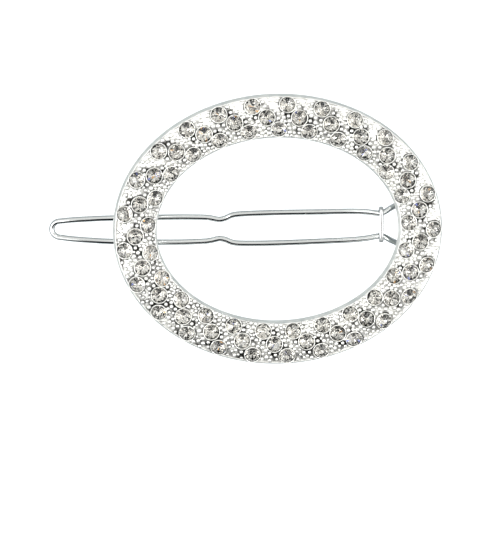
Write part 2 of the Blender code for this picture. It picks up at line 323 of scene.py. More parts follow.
def shaded_side(outward):
    """How much painted shade a side of the oval gets: outward against the shaded direction, none
    behind.
    """
    return np.clip(outward @ np.array(SHADE_TOWARDS), 0.0, 1.0)


def stone_places():
    """Centre and axes of every stone, three to a row, the outer one first."""
    step = np.tile((-1.0, 0.0, 1.0), ROWS)
    row = np.repeat(np.arange(ROWS), 3)
    return on_dome(FIRST_ROW + PERIMETER * row / ROWS + step * STONE_LEAN, -step * STONE_ACROSS)


def off_axis(points, centres, ups):
    """Distance of every point from every axis: a line through a centre, along its up."""
    gap = points[:, None] - centres[None]
    rise = np.einsum("nmi,mi->nm", gap, ups)
    return np.sqrt(np.maximum(np.einsum("nmi,nmi->nm", gap, gap) - rise ** 2, 0.0))


# --- finishes ---
GLASS_IOR = 1.56


def finish(name, metallic):
    """A new material, its node tree and its Principled shader."""
    made = bpy.data.materials.new(name)
    made.use_nodes = True
    shader = made.node_tree.nodes["Principled BSDF"]
    shader.inputs["Metallic"].default_value = metallic
    return made, made.node_tree, shader


def node(tree, kind, inputs=(), **settings):
    """A node with its settings, and its inputs by name or number."""
    made = tree.nodes.new(kind)
    for key, value in settings.items():
        setattr(made, key, value)
    for key, value in inputs:
        if isinstance(value, bpy.types.NodeSocket):
            tree.links.new(value, made.inputs[key])
        else:
            made.inputs[key].default_value = value
    return made


def product(tree, one, other, clamp=False):
    """Two numbers multiplied."""
    made = node(tree, "ShaderNodeMath", ((0, one), (1, other)), operation="MULTIPLY",
                use_clamp=clamp)
    return made.outputs["Value"]


def object_noise(tree, scale, detail=3.0, stretch=(1.0, 1.0, 1.0)):
    """Noise in the piece's own coordinates, stretched along X, Y or Z."""
    place = node(tree, "ShaderNodeTexCoord")
    mapped = node(tree, "ShaderNodeMapping", (("Vector", place.outputs["Object"]),
                                              ("Scale", stretch)))
    made = node(tree, "ShaderNodeTexNoise", (("Vector", mapped.outputs["Vector"]),
                                             ("Scale", scale), ("Detail", detail)))
    return made.outputs["Fac"]


def blend_between(tree, factor, low, high, start=0.3, end=0.7):
    """A colour that runs from low to high as the factor runs from start to end."""
    ramp = node(tree, "ShaderNodeValToRGB", (("Fac", factor),))
    ramp.color_ramp.elements[0].position = start
    ramp.color_ramp.elements[0].color = (*low, 1.0)
    ramp.color_ramp.elements[1].position = end
    ramp.color_ramp.elements[1].color = (*high, 1.0)
    return ramp.outputs["Color"]


def number_between(tree, factor, low, high):
    """A number that runs from low to high as the factor runs from a third to two thirds."""
    made = node(tree, "ShaderNodeMapRange", (("Value", factor), ("From Min", 0.33),
                                             ("From Max", 0.67), ("To Min", low),
                                             ("To Max", high)))
    return made.outputs["Result"]


def dress(tree, shader, tone, roughness, height=None, depth=0.0):
    """Give the shader a tone and a roughness, and a fine relief of that depth from a height."""
    tree.links.new(tone, shader.inputs["Base Color"])
    tree.links.new(roughness, shader.inputs["Roughness"])
    if height:
        bump = node(tree, "ShaderNodeBump", (("Height", height), ("Distance", depth)))
        tree.links.new(bump.outputs["Normal"], shader.inputs["Normal"])


def shade(base, factor):
    """A colour made lighter or darker."""
    return tuple(min(1.0, c * factor) for c in base)


def silver_finish(name, settings):
    """Bright plate over a casting: slow clouds of tone, a finer play of gloss, soft relief.

    It is painted dark, as painted shade, where the piece's own "crevice" number is high, in
    patches.
    """
    made, tree, shader = finish(name, 1.0)
    silver = tuple(settings.silver)
    tone = blend_between(tree, object_noise(tree, 420.0), shade(silver, 0.93),
                         shade(silver, 1.05))
    crevice = node(tree, "ShaderNodeAttribute", attribute_name="crevice")
    patch = number_between(tree, object_noise(tree, 650.0, detail=1.0), 0.25, 1.3)
    dark = product(tree, crevice.outputs["Fac"], patch, clamp=True)
    mixed = node(tree, "ShaderNodeMixRGB", (("Fac", dark), ("Color1", tone),
                                            ("Color2", (*settings.painted_shade, 1.0))))
    gloss = number_between(tree, object_noise(tree, 1500.0), settings.gloss * 0.7,
                           settings.gloss * 1.5)
    dress(tree, shader, mixed.outputs["Color"], gloss, object_noise(tree, 2600.0), 0.00003)
    return made


def wire_finish(settings):
    """Drawn and nickelled wire: bright, with long faint draw lines and slight dulling."""
    made, tree, shader = finish("spring_wire", 1.0)
    wire = tuple(settings.wire)
    streaks = object_noise(tree, 900.0, stretch=(0.06, 1.0, 1.0))
    tone = blend_between(tree, streaks, shade(wire, 0.90), shade(wire, 1.06))
    gloss = number_between(tree, object_noise(tree, 700.0), 0.04, 0.11)
    dress(tree, shader, tone, gloss, streaks, 0.00001)
    return made


def sheet_finish(name, sheet):
    """Stamped and plated sheet: fine rolling marks one way and cloudy gloss."""
    made, tree, shader = finish(name, 1.0)
    rolled = object_noise(tree, 1400.0, stretch=(1.0, 0.05, 0.3))
    tone = blend_between(tree, rolled, shade(sheet, 0.88), shade(sheet, 1.06))
    gloss = number_between(tree, object_noise(tree, 500.0), 0.20, 0.36)
    dress(tree, shader, tone, gloss, rolled, 0.00001)
    return made


def glass_finish(settings):
    """Clear lead glass with a faint, cloudy tint."""
    made, tree, shader = finish("clear_glass", 0.0)
    glass = tuple(settings.glass)
    tree.links.new(blend_between(tree, object_noise(tree, 300.0), shade(glass, 0.97), glass),
                   shader.inputs["Base Color"])
    shader.inputs["Roughness"].default_value = 0.0
    shader.inputs["IOR"].default_value = GLASS_IOR
    shader.inputs["Transmission Weight"].default_value = 1.0
    return made


def foil_finish():
    """The mirror foil behind a stone: each facet has its own painted reflection tone or painted
    flash, with faint blotches.
    """
    made, tree, shader = finish("stone_foil", 1.0)
    facet = node(tree, "ShaderNodeAttribute", attribute_name="facet")
    blotch = blend_between(tree, object_noise(tree, 2400.0), (0.72,) * 3, (1.0,) * 3)
    tone = node(tree, "ShaderNodeMixRGB", (("Fac", 1.0), ("Color1", facet.outputs["Color"]),
                                           ("Color2", blotch)), blend_type="MULTIPLY")
    gloss = number_between(tree, object_noise(tree, 3000.0), 0.01, 0.06)
    dress(tree, shader, tone.outputs["Color"], gloss)
    return made


# --- the cast oval ---
BAND_STATIONS = 760  # sections of the band round the oval
FLOOR_LANES = 40  # points of the floor across each section
PIT_SLOPE = 0.00005  # width of the slope from the floor into a pit
PIT_REACH = 0.7  # how far a pit reaches under its cup, in cup walls
SHADE_ALL = 0.06  # painted shade all over the sunk floor
SHADE_CUP, CUP_FADE = 1.0, 0.00018  # painted shade by the cups, and how far it spreads
SHADE_PRONG, PRONG_FADE = 1.6, 0.00055  # the same by the prongs
SHADE_RIM, RIM_FADE = 1.2, 0.00025  # the same by the outer rim, on the shaded side


def band_outline(rim_half):
    """The band's outline across, anticlockwise seen along it, without its floor.

    Returned as the outer side from the floor's edge down, the back with its channel, and the
    inner side up to the floor's other edge.
    """
    rim_z = float(dome_height(np.array(rim_half)))
    outer = [(rim_half, rim_z - 0.00010), (rim_half + 0.00003, rim_z + 0.00002),
             (rim_half + 0.00010, rim_z), (rim_half + 0.00020, rim_z - 0.00018),
             (rim_half + 0.00029, rim_z - 0.00044), (0.00305, 0.00085), (BAND_HALF, 0.00045),
             (BAND_HALF, 0.00012), (BAND_HALF - 0.00004, 0.00003), (BAND_HALF - 0.00012, 0.0)]
    channel = [(0.00232, 0.0), (0.00223, 0.00003), (0.00216, 0.00012), (0.00203, 0.00048),
               (0.00196, 0.00057), (0.00186, 0.00060)]
    outer = np.array(outer[::-1])
    channel = np.array(channel)
    mirror = np.array((-1.0, 1.0))
    back = np.concatenate((channel, channel[::-1] * mirror))
    return outer, back, outer[::-1] * mirror


def floor_shade(floor, off_cup, inside_rim, outward):
    """Painted shade on the band's floor, kept between nothing and one.

    The sum of a little all over, a share that falls as exp(-distance / fade) from the cups,
    one that falls as exp(-(distance / fade) squared) from the prongs, and one that falls as
    exp(-distance / fade) from the outer rim, times how shaded that side is.
    """
    prongs, stands = on_dome(*prong_places())
    off_prong = off_axis(floor.reshape(-1, 3), prongs, stands[:, 2]).min(axis=1)
    by_cup = np.exp(-np.maximum(off_cup, 0.0) / CUP_FADE)
    by_prong = np.exp(-(off_prong.reshape(off_cup.shape) / PRONG_FADE) ** 2)
    by_rim = shaded_side(outward)[:, None] * np.exp(-inside_rim / RIM_FADE)
    return np.clip(SHADE_ALL + SHADE_CUP * by_cup + SHADE_PRONG * by_prong + SHADE_RIM * by_rim,
                   0.0, 1.0)


class CLIP_OT_cast_band(bpy.types.Operator):
    """Cast oval: smooth rims, a sunk floor with a pit for each stone, a channelled back"""

    bl_idname = "clip.cast_band"
    bl_label = "Cast band"

    def execute(self, context):
        sizes = context.scene.clip_band
        way = PERIMETER * np.arange(BAND_STATIONS) / BAND_STATIONS
        centres, axes = stone_places()
        lane = np.linspace(sizes.rim_half - FLOOR_EDGE, FLOOR_EDGE - sizes.rim_half, FLOOR_LANES)
        ways, across = np.meshgrid(way, lane, indexing="ij")
        floor, stands = on_dome(ways, across)
        distance = off_axis(floor.reshape(-1, 3), centres, axes[:, 2]).min(axis=1)
        distance = distance.reshape(ways.shape)
        radius = context.scene.clip_stones.radius
        wall = context.scene.clip_stones.cup_wall
        pit = np.clip((radius + PIT_REACH * wall - distance) / PIT_SLOPE, 0.0, 1.0)
        depth = sizes.floor_depth + (sizes.pit_depth - sizes.floor_depth) * pit
        floor = floor - stands[..., 2, :] * depth[..., None]
        outer, back, inner = band_outline(sizes.rim_half)
        point, outward, _ = on_oval(way)

        def carried(outline):
            """Outline carried round the oval: point + across * outward + height * up."""
            return (point[:, None] + outward[:, None] * outline[None, :, :1]
                    + LEVEL * (BACK_Z + outline[None, :, 1:]))

        loop = np.concatenate((carried(outer), floor, carried(inner), carried(back[::-1])),
                              axis=1)
        faces = grid_faces(BAND_STATIONS, loop.shape[1], True)
        made = silver_finish("silver_band", context.scene.clip_finish)
        piece = put_mesh("cast_band", loop.reshape(-1, 3), [faces], [made])
        # painted shade on the sunk floor, by its cups, prongs and shaded rim
        crevice = np.zeros(loop.shape[:2])
        crevice[:, len(outer):len(outer) + FLOOR_LANES] = floor_shade(
            floor, distance - radius - wall, sizes.rim_half - across, outward)
        float_attribute(piece, "crevice", crevice)
        settle(piece, "clip", "silver_plate", "ring_frame")
        return {"FINISHED"}


def cup_shape(radius, wall, sides=28):
    """A cup's rim: a thin wall, rounded on top, that stands in the casting.

    Its loop of (radius, height) runs over the lip, down the outside and back under the stone.
    """
    radii = radius + np.array((-0.00002, 0.0, 0.00004, wall * 0.55, wall * 0.9, wall, wall,
                               -0.00002))
    heights = np.array((0.0, 0.00006, 0.00009, 0.00010, 0.00005, -0.00006, -0.0006, -0.0006))
    return turned_ring(radii[::-1], heights[::-1], sides)


class CLIP_OT_stone_cups(bpy.types.Operator):
    """Stone cups: one thin bright rim round each stone"""

    bl_idname = "clip.stone_cups"
    bl_label = "Stone cups"

    def execute(self, context):
        stones = context.scene.clip_stones
        centres, axes = stone_places()
        shape = cup_shape(stones.radius, stones.cup_wall)
        made = silver_finish("silver_cups", context.scene.clip_finish)
        piece = put_mesh("stone_cups", *scatter(shape, centres, axes, np.ones(len(centres))),
                         [made])
        # painted shade on each cup below its lip
        float_attribute(piece, "crevice", np.tile(shape[0][:, 2] < 0.0, len(centres)))
        settle(piece, "clip", "silver_plate", "ring_frame")
        return {"FINISHED"}


# --- grains and prongs ---
GRAIN_LINES = 5  # lines of grains from one row of stones to the next
GRAIN_LANES = 0.72  # their spacing across the band, in grain spacings
GRAIN_SIZES = (0.66, 1.18)  # the smallest and the largest, in middle radii
GRAIN_SEED = 5
GRAIN_STEPS = 24  # how often the grains are moved apart
GRAIN_TOUCH = 0.94  # share of two radii that keeps two beads apart
GRAIN_OFF_CUP = 0.40  # least distance of a grain's middle from a cup, in its radii
FACE_HALF = 0.003  # half the width over which the domed face is measured
GRAIN_SINK, PRONG_SINK = 0.42, 0.05  # depth of a bead's middle in the face, in radii
GRAIN_SHADE, GRAIN_SIDE_SHADE = 0.12, 0.45  # painted shade under every grain, and more on the shaded side
# painted shade under every prong
PRONG_SHADE = 0.9
SHADE_LINE = 0.35  # height on a bead, in radii, under which its painted shade lies
TINY = 1e-7  # least distance between two beads that is divided by


def prong_places():
    """Way and distance across of the four beads that hold each row, two at each gap."""
    step = np.array((-0.5, 0.5, -0.5, 0.5))
    hand = np.array((1.0, 1.0, -1.0, -1.0))
    turn = PRONG_OFF / math.hypot(STONE_LEAN, STONE_ACROSS)
    way = step * STONE_LEAN + hand * STONE_ACROSS * turn
    across = -step * STONE_ACROSS + hand * STONE_LEAN * turn
    row = FIRST_ROW + PERIMETER * np.arange(ROWS)[:, None] / ROWS
    return (row + way).ravel(), np.tile(across, ROWS)


def spread_grains(sizes, stones):
    """Ways, distances across and radii of the grains that fill the ribs between the rows.

    They start on a slanted lattice along the rows, every second line half a step across.
    Each step then moves every grain away from the grains, prongs and cups it overlaps, by
    half of the overlap, and keeps it between the rims.
    """
    lane_gap = sizes.grain_gap * GRAIN_LANES
    lines = ROWS * GRAIN_LINES
    lanes = np.arange(-sizes.rim_half, sizes.rim_half, lane_gap)
    way, across = np.meshgrid(PERIMETER * np.arange(lines) / lines, lanes, indexing="ij")
    way = (way - across * STONE_LEAN / STONE_ACROSS + FIRST_ROW).ravel()
    across = (across + np.resize((0.0, lane_gap / 2), (lines, 1))).ravel()
    chance = np.random.default_rng(GRAIN_SEED)
    radii = sizes.grain_radius * chance.uniform(*GRAIN_SIZES, len(way))
    centres, axes = stone_places()
    cup = stones.radius + stones.cup_wall
    clear = off_axis(on_dome(way, np.clip(across, -FACE_HALF, FACE_HALF))[0], centres,
                     axes[:, 2]).min(axis=1) > cup
    way, across, radii = way[clear], across[clear], radii[clear]
    prong_way, prong_across = prong_places()
    fixed = np.concatenate((on_dome(prong_way, prong_across)[0], centres))
    fixed_radii = np.concatenate((np.full(len(prong_way), sizes.prong_radius + sizes.prong_room),
                                  np.full(len(centres), cup + sizes.cup_room)))
    limit = sizes.rim_half - FLOOR_EDGE
    for _ in range(GRAIN_STEPS):
        spot, stands = on_dome(way, across)
        others = np.concatenate((spot, fixed))
        reach = np.concatenate((radii, fixed_radii))
        apart = spot[:, None] - others[None]
        distance = np.maximum(np.linalg.norm(apart, axis=-1), TINY)
        overlap = np.maximum((radii[:, None] + reach[None]) * GRAIN_TOUCH - distance, 0.0)
        overlap[np.arange(len(way)), np.arange(len(way))] = 0.0
        push = (apart * (overlap / distance)[..., None]).sum(axis=1) * 0.5
        way = way + np.einsum("ni,ni->n", push, stands[:, 0])
        across = np.clip(across + np.einsum("ni,ni->n", push, stands[:, 1]), -limit, limit)
    spot, _ = on_dome(way, across)
    clear = off_axis(spot, centres, axes[:, 2]).min(axis=1) > cup + GRAIN_OFF_CUP * radii
    return way[clear], across[clear], radii[clear]


def bead_shape(sides, sink):
    """A bead of radius one: rings at angles from its top, closed by a pole under it."""
    angle = np.radians((0.0, 28.0, 56.0, 84.0, 125.0))
    radii = np.sin(angle)
    radii[-1] = 0.0
    heights = np.cos(angle) - sink
    return turned_shape(radii[::-1], heights[::-1], sides)


class CLIP_OT_grains(bpy.types.Operator):
    """Grains and prongs: beads of silver between the rows, and at the gaps in each row"""

    bl_idname = "clip.grains"
    bl_label = "Grains and prongs"

    def execute(self, context):
        sizes = context.scene.clip_band
        way, across, radii = spread_grains(sizes, context.scene.clip_stones)
        made = silver_finish("silver_grains", context.scene.clip_finish)
        prong_way, prong_across = prong_places()
        prong_radii = np.full(len(prong_way), sizes.prong_radius)
        # painted shade on the lower part of each bead
        grain_shade = GRAIN_SHADE + GRAIN_SIDE_SHADE * shaded_side(on_oval(way)[1])
        prong_shade = np.full(len(prong_way), PRONG_SHADE)
        for name, shape, places, size, dark in (
                ("grains", bead_shape(8, GRAIN_SINK), on_dome(way, across), radii, grain_shade),
                ("prongs", bead_shape(12, PRONG_SINK), on_dome(prong_way, prong_across),
                 prong_radii, prong_shade)):
            piece = put_mesh(name, *scatter(shape, *places, size), [made])
            float_attribute(piece, "crevice", np.outer(dark, shape[0][:, 2] < SHADE_LINE))
            settle(piece, "clip", "silver_plate", "ring_frame")
        return {"FINISHED"}


# --- stones ---
GIRDLE_HALF = 0.00003  # half the height of a stone's girdle
KITE_CORNER = 0.52  # how far out a kite's side corners lie, of table plus girdle radius
LOWER_CORNER = 0.42  # how far out the lower kites' side corners lie, of the girdle radius
KITE_DIMPLE = 0.00003  # how far the middle of a lower kite is pressed in
STONE_TIP = 0.035  # how unevenly the stones sit, in radians
# painted reflections on the foil: shares and tones of dark, dim and bright facets
DARK_SHARE, DARK_TONES = 0.16, (0.04, 0.26)
DIM_SHARE, DIM_TONES = 0.34, (0.58, 0.85)  # this share includes the dark one
BRIGHT_TONES = (0.94, 1.0)
FOIL_TINT = (1.0, 0.985, 0.95)
FIRE_SHARE = 0.007  # share of facets painted with a warm flash, and again with a cool one


def brilliant(stones):
    """A round stone with a table, eight stars, eight kites, and halves above and below.

    Rings stand at eight or sixteen angles. Each kite is kept flat: its side corners lie at
    the height that the line from the table to the girdle has at their own distance out.
    """
    eighth = np.arange(8) * math.pi / 4
    half = eighth + math.pi / 8
    lean = math.cos(math.pi / 8)
    edge = GIRDLE_HALF
    mid = (stones.radius + stones.table) * KITE_CORNER
    mid_z = stones.crown - (stones.crown - edge) * (
        (mid * lean - stones.table) / (stones.radius - stones.table))
    low = stones.radius * LOWER_CORNER
    low_z = -stones.pavilion + (stones.pavilion - edge) * low * lean / stones.radius

    def ring(radius, height, angles):
        """Points at radius * (cos, sin) of the angles, all at one height."""
        return np.stack((radius * np.cos(angles), radius * np.sin(angles),
                         np.full(len(angles), height)), axis=-1)

    girdle = np.stack((eighth, half), axis=-1).ravel()
    points = np.concatenate((
        ring(stones.table, stones.crown, eighth), ring(mid, mid_z, half),
        ring(stones.radius, edge, girdle), ring(stones.radius, -edge, girdle),
        ring(low, low_z, half), np.array([(0.0, 0.0, -stones.pavilion)])))
    k = np.arange(8)
    after = (k + 1) % 8
    table, side, top, bottom, lower, culet = k, 8 + k, 16 + 2 * k, 32 + 2 * k, 48 + k, 56
    glass = [table[None],
             np.stack((table, side, after), axis=-1),
             np.stack((table, 8 + (k - 1) % 8, top, side), axis=-1),
             np.stack((side, top, top + 1), axis=-1),
             np.stack((side, top + 1, 16 + 2 * after), axis=-1)]
    glass.append(np.stack((top, bottom, bottom + 1, top + 1), axis=-1))
    glass.append(np.stack((top + 1, bottom + 1, 32 + 2 * after, 16 + 2 * after), axis=-1))
    foil = [np.stack((np.full(8, culet), lower, bottom, 48 + (k - 1) % 8), axis=-1),
            np.stack((lower, bottom + 1, bottom), axis=-1),
            np.stack((lower, 32 + 2 * after, bottom + 1), axis=-1)]
    points, kites = dimpled(points, foil[0])
    return points, glass, [kites] + foil[1:]


def dimpled(points, facets):
    """Split each facet into triangles that meet at its middle, pressed in a little.

    The middle is the mean of the facet's corners, moved against its outward normal.
    """
    corners = points[facets]
    out = np.cross(corners[:, 1] - corners[:, 0], corners[:, 2] - corners[:, 0])
    out /= np.linalg.norm(out, axis=1, keepdims=True)
    middle = len(points) + np.arange(len(facets))
    points = np.concatenate((points, corners.mean(axis=1) - out * KITE_DIMPLE))
    pairs = np.stack((facets, np.roll(facets, -1, axis=1)), axis=-1)
    tips = np.broadcast_to(middle[:, None, None], (*facets.shape, 1))
    return points, np.concatenate((pairs, tips), axis=-1).reshape(-1, 3)


def facet_tones(count, chance, finishes):
    """Painted reflections on the foil's facets: dark, middling or bright greys, and a few painted
    flashes of fire.
    """
    kind = chance.uniform(size=count)
    dark, dim, bright = (chance.uniform(*tones, count)
                         for tones in (DARK_TONES, DIM_TONES, BRIGHT_TONES))
    grey = np.select([kind < DARK_SHARE, kind < DIM_SHARE], [dark, dim], bright)
    tone = grey[:, None] * np.array(FOIL_TINT)
    fire = chance.uniform(size=count)
    tone[fire < FIRE_SHARE] = tuple(finishes.warm_fire)
    tone[fire > 1 - FIRE_SHARE] = tuple(finishes.cool_fire)
    return np.column_stack((tone, np.ones(count)))


class CLIP_OT_stones(bpy.types.Operator):
    """Cut stones: three to a row, clear glass over a pavilion of mirror foil"""

    bl_idname = "clip.stones"
    bl_label = "Cut stones"

    def execute(self, context):
        stones = context.scene.clip_stones
        finishes = context.scene.clip_finish
        chance = np.random.default_rng(stones.seed)
        points, glass, foil = brilliant(stones)
        centres, axes = stone_places()
        turn = chance.uniform(0.0, math.pi / 4, len(centres))
        cos, sin = np.cos(turn)[:, None], np.sin(turn)[:, None]
        tip = chance.normal(0.0, STONE_TIP, (len(centres), 2, 1))
        up = axes[:, 2] + axes[:, 0] * tip[:, 0] + axes[:, 1] * tip[:, 1]
        up /= np.linalg.norm(up, axis=-1, keepdims=True)
        along = axes[:, 0] * cos + axes[:, 1] * sin
        along -= up * np.einsum("ni,ni->n", along, up)[:, None]
        along /= np.linalg.norm(along, axis=-1, keepdims=True)
        axes = np.stack((along, np.cross(up, along), up), axis=-2)
        materials = [glass_finish(finishes), foil_finish()]
        for row in range(ROWS):
            trio = slice(3 * row, 3 * row + 3)
            placed, faces = scatter((points, glass + foil), centres[trio], axes[trio],
                                    np.ones(3))
            piece = put_mesh(f"stones_{row + 1:02d}", placed, faces, materials, smooth=False)
            sizes = [len(f) for f in faces]
            clear = sum(sizes[:len(glass)])
            index = (np.arange(sum(sizes)) >= clear).astype(np.int32)
            piece.data.polygons.foreach_set("material_index", index)
            # a painted reflection tone or painted flash for each facet
            layer = piece.data.attributes.new("facet", "FLOAT_COLOR", "FACE")
            layer.data.foreach_set("color",
                                   facet_tones(sum(sizes), chance, finishes).ravel())
            settle(piece, "clip", "foiled_crystal", f"stone_row_{row + 1:02d}")
        return {"FINISHED"}


# --- tongue ---
WIRE_SIDES = 24
LEG_STEPS = 7  # points of the curve from one point of LEG to the next
BEND_POINTS = 12  # points of the bend into the bracket's ear
TIP_POINTS = 26  # points of the round tip, with the two that end the legs
STUB_START = 0.0003  # where the straight end in the ear starts, past its bend
END_ANGLES = (75.0, 50.0, 25.0)  # angles of the rings that round off a cut end
END_TAPER = 0.6  # how much a cut end narrows, of a full half ball
STRAP_SQUARE = 0.75  # 1 is an oval section, and less is squarer
STRAP_SHADE = 0.86  # the strap's tone, as a share of the brackets'


def arch(x):
    """Height of the wire's middle above the back, by x from the oval's centre.

    Two half parabolas meet at the top, at ARCH_X; the one towards the tip is the steeper.
    Along the bend into the ear the wire is level, at the pivot's height.
    """
    to_pivot = (PIVOT_DROP - ARCH_DROP) / (PIVOT_X - ARCH_X) ** 2
    rate = np.where(x < ARCH_X, ARCH_TIP_RATE, to_pivot)
    bowed = -ARCH_DROP - rate * (x - ARCH_X) ** 2
    return np.where(x < PIVOT_X - PIVOT_BEND, bowed, -PIVOT_DROP)


def catmull_rom(points, steps):
    """A smooth curve through points: each piece is the Catmull-Rom cubic of four points."""
    ends = np.concatenate(([2 * points[0] - points[1]], points, [2 * points[-1] - points[-2]]))
    a, b, c, d = (ends[i:len(ends) - 3 + i, None] for i in range(4))
    t = (np.arange(steps) / steps)[None, :, None]
    curve = 0.5 * (2 * b + (c - a) * t + (2 * a - 5 * b + 4 * c - d) * t ** 2
                   + (3 * b - a - 3 * c + d) * t ** 3)
    return np.concatenate((curve.reshape(-1, 2), points[-1:]))


def tongue_line(wire_end):
    """The tongue's middle line in plan: one leg, the round tip, and the other leg.

    A leg is the smooth curve through its points, a straight run, then a bend that turns it
    to lie along Y in the bracket's ear.
    """
    angle = np.linspace(PIVOT_SPREAD, math.pi / 2, BEND_POINTS)
    bend = np.stack((PIVOT_X - PIVOT_BEND + PIVOT_BEND * np.sin(angle),
                     BEND_END - PIVOT_BEND * np.cos(angle)), axis=-1)
    run = LEG[-1] + (bend[0] - LEG[-1]) * np.linspace(0.25, 0.75, 3)[:, None]
    out = np.linspace(BEND_END + STUB_START, wire_end, 4)
    stub = np.stack((np.full_like(out, PIVOT_X), out), axis=-1)
    leg = np.concatenate((catmull_rom(LEG, LEG_STEPS), run, bend, stub))
    angle = np.linspace(math.pi / 2, 1.5 * math.pi, TIP_POINTS)[1:-1]
    tip = np.stack((LEG[0, 0] + TIP_BEND * np.cos(angle), TIP_BEND * np.sin(angle)), axis=-1)
    return np.concatenate((leg[::-1], tip, leg * np.array((1.0, -1.0))))


class CLIP_OT_tongue(bpy.types.Operator):
    """Wire tongue: a round wire carried along the bent line, with rounded cut ends"""

    bl_idname = "clip.tongue"
    bl_label = "Wire tongue"

    def execute(self, context):
        radius = context.scene.clip_wire.radius
        flat = tongue_line(WIRE_END - CUT_END)
        path = np.column_stack((flat[:, 0] + CENTRE_X, flat[:, 1],
                                BACK_Z + arch(flat[:, 0])))
        tangent = np.gradient(path, axis=0)
        tangent /= np.linalg.norm(tangent, axis=1, keepdims=True)
        side = np.cross(tangent, LEVEL)
        side /= np.linalg.norm(side, axis=1, keepdims=True)
        up = np.cross(side, tangent)
        round_off = np.radians(END_ANGLES)
        rings = len(END_ANGLES)
        head = path[0] - tangent[0] * (CUT_END * np.sin(round_off))[:, None]
        tail = path[-1] + tangent[-1] * (CUT_END * np.sin(round_off))[::-1, None]
        path = np.concatenate((head, path, tail))
        side = np.pad(side, ((rings, rings), (0, 0)), mode="edge")
        up = np.pad(up, ((rings, rings), (0, 0)), mode="edge")
        taper = np.ones(len(path))
        taper[:rings] = 1 - (1 - np.cos(round_off)) * END_TAPER
        taper[-rings:] = taper[:rings][::-1]
        angle = 2 * math.pi * np.arange(WIRE_SIDES) / WIRE_SIDES
        circle = radius * np.stack((np.sin(angle), np.cos(angle)), axis=-1)
        tube = swept(path, (side, up), circle, taper).reshape(-1, 3)
        poles = np.stack((path[0], path[-1]))
        pole = len(path) * WIRE_SIDES
        faces = [grid_faces(len(path), WIRE_SIDES), fan_faces(0, WIRE_SIDES, pole, True),
                 fan_faces(pole - WIRE_SIDES, WIRE_SIDES, pole + 1, False)]
        piece = put_mesh("tongue_wire", np.concatenate((tube, poles)), faces,
                         [wire_finish(context.scene.clip_finish)])
        settle(piece, "tongue", "spring_wire", "wire_tongue")
        return {"FINISHED"}


def strap_loop(half_height, reach):
    """The strap's middle line across the clip: a half circle at each end of two straights."""
    turn = np.linspace(-math.pi / 2, math.pi / 2, 15)
    arc = np.stack((reach + half_height * np.cos(turn), half_height * np.sin(turn)), axis=-1)
    straight = np.linspace(reach, -reach, 10)[1:-1]
    top = np.stack((straight, np.full_like(straight, half_height)), axis=-1)
    return np.concatenate((arc, top, -arc, -top))


class CLIP_OT_strap(bpy.types.Operator):
    """Strap: a flat band with rounded edges, crimped round both legs of the wire"""

    bl_idname = "clip.strap"
    bl_label = "Strap"

    def execute(self, context):
        wire = context.scene.clip_wire
        wall = wire.strap_wall
        half_height = wire.radius + PLAY + wall / 2
        loop = strap_loop(half_height, STRAP_OPEN_HALF + wall / 2 - half_height)
        path = np.column_stack((np.full(len(loop), STRAP_X + CENTRE_X), loop[:, 0],
                                BACK_Z + float(arch(np.array(STRAP_X))) + loop[:, 1]))
        tangent = np.roll(path, -1, axis=0) - np.roll(path, 1, axis=0)
        tangent /= np.linalg.norm(tangent, axis=1, keepdims=True)
        across = np.tile((1.0, 0.0, 0.0), (len(path), 1))
        out = np.cross(tangent, across)
        corner = np.radians(np.arange(0, 360, 15) + 7.5)
        oval = np.stack((np.cos(corner), np.sin(corner)), axis=-1)
        profile = np.abs(oval) ** STRAP_SQUARE * np.sign(oval)
        profile = profile * (wire.strap_width / 2, wall / 2)
        skin = swept(path, (across, out), profile, np.ones(len(path)))
        faces = grid_faces(len(path), len(corner), True)
        sheet = context.scene.clip_finish.sheet
        made = sheet_finish("plated_strap", shade(sheet, STRAP_SHADE))
        piece = put_mesh("strap", skin.reshape(-1, 3), [faces], [made])
        settle(piece, "tongue", "spring_wire", "cross_band")
        return {"FINISHED"}


# --- brackets ---
STAMPED_EDGE = 0.00007  # width of the brackets' rounded edges
WELD_REACH = 0.000001  # points nearer than this are one


class CLIP_OT_brackets(bpy.types.Operator):
    """Brackets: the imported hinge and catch, with their stamped edges rounded"""

    bl_idname = "clip.brackets"
    bl_label = "Brackets"

    def execute(self, context):
        made = sheet_finish("plated_sheet", tuple(context.scene.clip_finish.sheet))
        for name in ("hinge_bracket", "catch_bracket"):
            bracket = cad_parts[name]
            bracket.data.materials.clear()
            bracket.data.materials.append(made)
            weld = bracket.modifiers.new("weld", "WELD")
            weld.merge_threshold = WELD_REACH
            bevel = bracket.modifiers.new("edges", "BEVEL")
            bevel.width = STAMPED_EDGE
            bevel.segments = 2
            bevel.limit_method = "ANGLE"
            bevel.angle_limit = math.radians(40)
        return {"FINISHED"}


# --- stage ---
LAMPS = (("key", (-0.36, -0.04, 0.34), 0.36, 0.85),  # name, place, size, power
         ("fill", (0.34, 0.02, 0.38), 0.40, 0.60),
         ("spark_back", (-0.10, 0.20, 0.46), 0.03, 0.80),
         ("spark_right", (0.26, 0.02, 0.40), 0.03, 0.80),
         ("spark_left", (-0.30, -0.06, 0.36), 0.03, 0.80))
LOW_LIGHT, HIGH_LIGHT = (0.60, 0.62, 0.64), (1.0, 0.995, 0.97)
LIGHT_SLOPE = (0.0, 0.20, 0.95)  # the way in which the sky grows bright
FLAG_LEFT = (-0.42, -0.30)  # the flag's soft left edge, by the X of a direction
FLAG_RIGHT = (0.46, 0.34)  # its right edge, by X
FLAG_FRONT = (-0.17, -0.24)  # its near edge, by Y
FLAG_COLOUR = (0.012, 0.015, 0.02, 1.0)
FLOOR_HALF = 2.0
FLOOR_GLOW = 0.9
LEAN_X, LEAN_Y, ROLL = math.radians(-3.5), math.radians(9.0), math.radians(-0.5)
